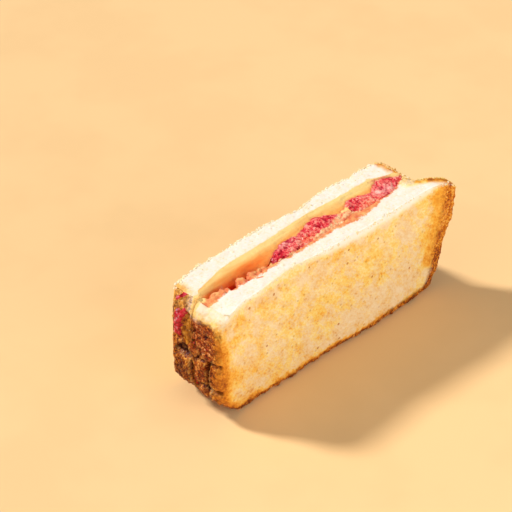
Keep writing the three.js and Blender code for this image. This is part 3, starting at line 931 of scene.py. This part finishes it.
def slice_piece(side):
    """Make a slice. Its points, their normals and how they lie serve to place the crumbs."""
    p, n, quads, at = slice_form(side)
    p = add_relief(p, n, at)
    find_borders(side, p, at)
    x, y, z = p.T
    wobble, gritty = at.wobble, at.gritty
    smear = smear_mask(p, at)
    stain = stain_mask(p, at)
    # At the top of the left end the seam is rubbed shut, with crumb and peanut butter
    closing = most(at.left, at.cut * fade(at.from_left, 2, 6.5)) * smooth(z, 41.5, 45.5)
    closing = closing * bump_at(y + 0.4 * wobble, -0.4, 2.6) * (1 - smear)
    spread = most(spread_mask(p, at), 0.7 * closing)
    # Painted light on the left crust: painted shade on the large cushion, towards the foot, in the folds and
    # in the grit's hollows; painted highlights on the fold rims, the grit's peaks and the golden top of the
    # back slice's end
    shade = 0.5 * spot(y, z, (6.5, 15), (5, 7)) + 0.42 * fade(z, 3, 13)
    golden_top_highlight = 0.75 * smooth(z, 41, 46) * smooth(y + wobble, 1.5, 4) * (1 - smear)
    # Painted light: the crumb just under the cut and at the cut's outer edge is painted whiter, as if lit
    # like the cut
    under_edge = smooth(at.upright, 0.1, 0.5) * fade(at.from_cut, 5, 9) * (at.share < 0.3)
    under_edge = np.where(at.cut > 0, fade(at.from_outer, 0, 1), under_edge)
    left_painted_shade = 1.3 * at.fold_dark + shade + 0.55 * smooth(-gritty, 0.15, 0.8)
    left_painted_highlight = at.fold_rim * smooth(wobble, -0.5, 0.5) + golden_top_highlight + (0.6 - shade) * smooth(gritty, 0.25, 0.9)
    masks = {
        "crumb": most(crumb_mask(p, at), closing),
        "crust": crust_mask(p, at),
        "brown": brown_mask(p, at),
        "stain": stain,
        "jam": smear,
        "spread": spread,
        "pale": at.face * fade(z, 10, 32) * smooth(at.to_edge, 14, 26) * smooth(x, -50, -15),
        "bright": most((at.band + at.right_end) * smooth(z, 6, 30), under_edge),
        # Painted shade: the seam between the slices at the right end, and the left crust's painted shade
        "dark": 0.8 * at.seam + at.left_crust * left_painted_shade,
        "rim": 0.8 * at.rim * smooth(wobble, -0.6, 0.2) + at.left_crust * left_painted_highlight,
    }
    # What is smeared on stands out, and what is rubbed off leaves a hollow
    p = p + n * (at.left * (0.5 * smear - 0.1 * spread))[:, None]
    name = "front_slice" if side == FRONT else "back_slice"
    make_piece(name, p, quads, masks, "bread", at.border)
    at.wet = stain + spread
    return p, n, at


# Fillings
def filling_grid(counts, *spot_upwards):
    """A filling's grid: X, the shares across and upwards, the quads, and the border of its top."""
    unit, quads, sides = box_grid(even(counts[0]), even(counts[1]), spaced(counts[2], *spot_upwards))
    a, b, c = unit.T
    x = mix(seam_end(mix(POCKET_FLOOR_Z, HEIGHT, c)), FILLING_RIGHT_X, a)
    return x, b, c, quads, np.intersect1d(quads[sides == TOP], quads[sides != TOP])


def butter_piece():
    x, b, c, quads, border = filling_grid(BUTTER_GRID, (1, 0.12, 4))
    q = np.c_[x, b * 6, 0 * x]
    steep = smooth(-x, 22, 38)
    slope = mix(0.34, 1, steep) * (1 - b) ** mix(1.4, 2.8, steep)
    streaks = 0.14 * noise(q, 2.2, 2, stretch=(6, 1, 1))
    top = HEIGHT + 0.16 + 0.1 * noise(q, 12, 2) - PB_DROP * slope + streaks - 0.25 * smooth(-x, 49, 62)
    z = mix(POCKET_FLOOR_Z, top, c)
    edge = divide(x, z)
    y = mix(edge + 0.02, most(back_pocket(x, z) + 0.02, edge + 0.15), b)
    p = np.c_[x, y, z]
    p[:, 2] += (c > 0.9999) * (0.1 * noise(p, 3, 2) + 0.06 * noise(p, 1.1, 2))
    # Partly painted shade and painted red bounce light from the jam, partly stain: it is darker and redder
    # the further it lies from the back slice and below the cut
    from_back = back_pocket(x, z) - y
    middle = 0.30 * smooth(from_back, 1, 4.5)
    low = 0.02 + mix(middle, 0.6 * smooth(from_back, 0.7, 6.3), smooth(-x, 12, 40))
    low += 0.36 * bump_at(x, -48.8, 2.6) * smooth(from_back, 4.6, 7.6)
    low += 0.05 * noise(p, 8, 2) + 0.3 * smooth(top - z, 0.6, 4) + 0.12 * smooth(-x, 46, 60)
    soak = 0.8 * fade(b, 0.02, 0.14) * smooth(x, -30, -24)
    soak = soak + 0.9 * bump_at(x, 38, 2.2) * fade(b, 0.5, 0.9) + 0.8 * bump_at(x, 42.4, 1.4)
    make_piece("peanut_butter", p, quads, {"low": low, "soak": soak}, "peanut_butter", border)


def jam_full(x):
    """0 where the jam lies deep at the left end, 1 where it comes up to the cut."""
    return smooth(x, -33, -24)


def jam_top(x, b, q):
    """Height of the jam's surface, and how far its pulp stands out."""
    full = jam_full(x)
    near, value = cells(q * np.array([0.8, 1, 1]), 2, 0.3)
    drops = np.sqrt(np.clip(1 - (near / 0.8) ** 2, 0, 1)) * (0.35 + 0.65 * value)
    crumple = 1 - 2 * np.abs(noise(q, 3.2, 3, 4))
    wave = 0.35 + 0.5 * noise(q, 7, 2) + (0.2 * drops + 0.5 * crumple) * (1 - 0.9 * bump_at(x, BRIDGE_X, 3))
    wave = wave * full * np.sin(np.pi * np.clip(b, 0.06, 0.94)) ** 0.5
    level = mix(FULL_JAM, 0.85, smooth(b, 0.5, 1)) + 0.2 * fade(b, 0, 0.2)
    top = HEIGHT - mix(DEEP_JAM, level, full) + wave + 0.3 * (1 - full) * drops
    return top, np.clip(0.25 * drops + 0.45 + 0.35 * crumple, 0, 1)


def jam_piece():
    x, b, c, quads, border = filling_grid(JAM_GRID, (1, 0.14, 5))
    top, pulp = jam_top(x, b, np.c_[x, b * 8, 0 * x])
    z = mix(POCKET_FLOOR_Z, top, c)
    edge = divide(x, z)
    front_wall = -pocket(x, z) - 0.02 + lumps(x, z) * smooth(x, -36, -28)
    y = mix(np.minimum(front_wall, edge - 0.15), edge - 0.02, b)
    p = np.c_[x, y, z]
    p[:, 2] += (c > 0.9999) * 0.16 * noise(p, 1.2, 3)
    full = jam_full(x)
    wobble = noise(p, 2.4, 3, 5)
    bridge = 1.2 * bump_at(x + 0.9 * wobble, BRIDGE_X + 0.1, 2.9)
    fleck = smooth(noise(p, 1.8, 2, 14), 0.15, 0.4) * bump_at(x, BRIDGE_X - 0.9, 1.8)
    soaked = fade(y - on_line(x, SOAKED_EDGE) + 0.8 * wobble, -1, 1)
    haze, warm = spots(x, y, JAM_HAZE), spots(x, y, JAM_WARM)
    # Painted shade: the jam is darker at the left end where it lies deep, through the dark patches there and
    # a lower pulp
    dark = spots(x, y, JAM_DARK) + 1.8 * bump_at(x, -26.5, 5.5)
    pulp = np.clip(pulp + 0.36 * noise(p, 4.2, 3, 30) + 0.16 * haze + 0.22 * warm - 0.26 * dark, 0, 1)
    masks = {
        "pulp": pulp * mix(0.3, 1, full),
        "butter": bridge * (1 - 0.8 * fleck),
        "crumb": soaked * full,
        "haze": haze,
        "warm": warm + 0.5 * (1 - full),
    }
    make_piece("jam", p, quads, masks, "jam", border)


# Loose crumbs
def ball():
    """Points and triangles of a small ball: an octahedron with each side divided in four."""
    points = [Vector(v) for v in ((1, 0, 0), (-1, 0, 0), (0, 1, 0), (0, -1, 0), (0, 0, 1), (0, 0, -1))]
    faces = [(0, 2, 4), (2, 1, 4), (1, 3, 4), (3, 0, 4), (2, 0, 5), (1, 2, 5), (3, 1, 5), (0, 3, 5)]
    middle, finer = {}, []
    for a, b, c in faces:
        for pair in ((a, b), (b, c), (c, a)):
            if frozenset(pair) not in middle:
                middle[frozenset(pair)] = len(points)
                points.append(((points[pair[0]] + points[pair[1]]) / 2).normalized())
        ab, bc, ca = (middle[frozenset(pair)] for pair in ((a, b), (b, c), (c, a)))
        finer += [(a, ab, ca), (b, bc, ab), (c, ca, bc), (ab, bc, ca)]
    return np.array([tuple(v) for v in points]), np.array(finer)


def scatter(places, sizes, lumpy, rng):
    """Points and faces of lumpy balls at the given places."""
    unit, faces = ball()
    all_points, all_faces = [], []
    for i, (at, size) in enumerate(zip(places, sizes)):
        turn, _ = np.linalg.qr(rng.normal(size=(3, 3)))
        if np.linalg.det(turn) < 0:
            turn[:, 0] *= -1
        shape = unit * (1 + lumpy * rng.uniform(-1, 1, (len(unit), 1))) * rng.uniform(0.75, 1.25, 3)
        all_points.append(shape @ turn.T * size + at)
        all_faces.append(faces + i * len(unit))
    return np.concatenate(all_points), np.concatenate(all_faces)


def crumbs(name, points, normals, at, count, seed, along_face):
    """Loose crumbs on the cut's rough edges, with a given share along the toasted face."""
    rng = np.random.default_rng(seed)
    outer_edge = at.cut * most(fade(at.from_right, 0.3, 1), along_face * fade(at.from_outer, 0.3, 1))
    dry = at.cut * (at.wet < 0.05)
    inner_edge = dry * fade(FACE_Y - at.from_outer, 0.3, 1.2)
    under_cut = at.face * fade(at.from_cut, 0.3, 2.5)
    weight = outer_edge + 0.12 * inner_edge + 0.004 * dry + 0.10 * under_cut
    chosen = rng.choice(len(weight), count, replace=False, p=weight / weight.sum())
    sizes = rng.uniform(0.18, 0.4, count) * rng.choice([1, 1, 1.4], count)
    places = points[chosen] - normals[chosen] * (sizes * 0.15)[:, None] + rng.normal(0, 0.06, (count, 3))
    p, faces = scatter(places, sizes, 0.28, rng)
    # Crumbs near the right crust are browner than the rest
    inside = smooth(at.from_right[chosen], 1.5, 4)
    crumb = rng.uniform(0.1, 0.6, count) * inside
    brown = 0.08 + 0.38 * (1 - inside) * rng.uniform(0.6, 1.2, count)
    each = len(p) // count
    masks = {"crumb": np.repeat(crumb, each), "brown": np.repeat(brown, each)}
    make_piece(name, p, faces, masks, "bread")


# Floor, light and camera
def add_floor():
    mesh = bpy.data.meshes.new("floor")
    corners = [(FLOOR_HALF * x, FLOOR_HALF * y, 0) for x, y in ((-1, -1), (1, -1), (1, 1), (-1, 1))]
    mesh.from_pydata(corners, [], [(0, 1, 2, 3)])
    mesh.materials.append(floor_material())
    add_object("floor", mesh)


def on_screen(right, away, up):
    """A direction given as seen from the camera, with up vertical."""
    return Vector((AHEAD[1] * right + AHEAD[0] * away, -AHEAD[0] * right + AHEAD[1] * away, up)).normalized()


def aim(thing, place, forward):
    thing.location = place
    thing.rotation_mode = "QUATERNION"
    thing.rotation_quaternion = forward.to_track_quat("-Z", "Y")


def add_light(name, kind, place, energy, colour, spread):
    data = bpy.data.lights.new(name, kind)
    data.energy = energy
    data.color = colour
    if kind == "AREA":
        data.shape = "DISK"
        data.size = spread
    else:
        data.angle = math.radians(spread)
    aim(add_object(name, data), on_screen(*place) * LIGHT_DISTANCE, -on_screen(*place))


def add_camera():
    data = bpy.data.cameras.new("camera")
    data.lens = LENS
    data.sensor_width = SENSOR
    data.clip_start = NEAREST
    camera = add_object("camera", data)
    forward = Vector((AHEAD[0] * math.cos(PITCH), AHEAD[1] * math.cos(PITCH), -math.sin(PITCH)))
    aim(camera, TARGET - forward * CAMERA_DISTANCE, forward)
    bpy.context.scene.camera = camera


def add_sky():
    world = bpy.data.worlds.new("world")
    world.use_nodes = True
    background = next(n for n in world.node_tree.nodes if n.type == "BACKGROUND")
    background.inputs["Color"].default_value = SKY
    background.inputs["Strength"].default_value = SKY_STRENGTH
    bpy.context.scene.world = world


materials = {"bread": bread_material(), "peanut_butter": butter_material(), "jam": jam_material()}
front_slice = slice_piece(FRONT)
back_slice = slice_piece(BACK)
butter_piece()
jam_piece()
crumbs("front_crumbs", *front_slice, count=260, seed=21, along_face=0.02)
crumbs("back_crumbs", *back_slice, count=900, seed=22, along_face=1)

add_floor()
add_camera()
for light in LIGHTS:
    add_light(*light)
add_sky()
bpy.context.scene.view_settings.view_transform = "Standard"
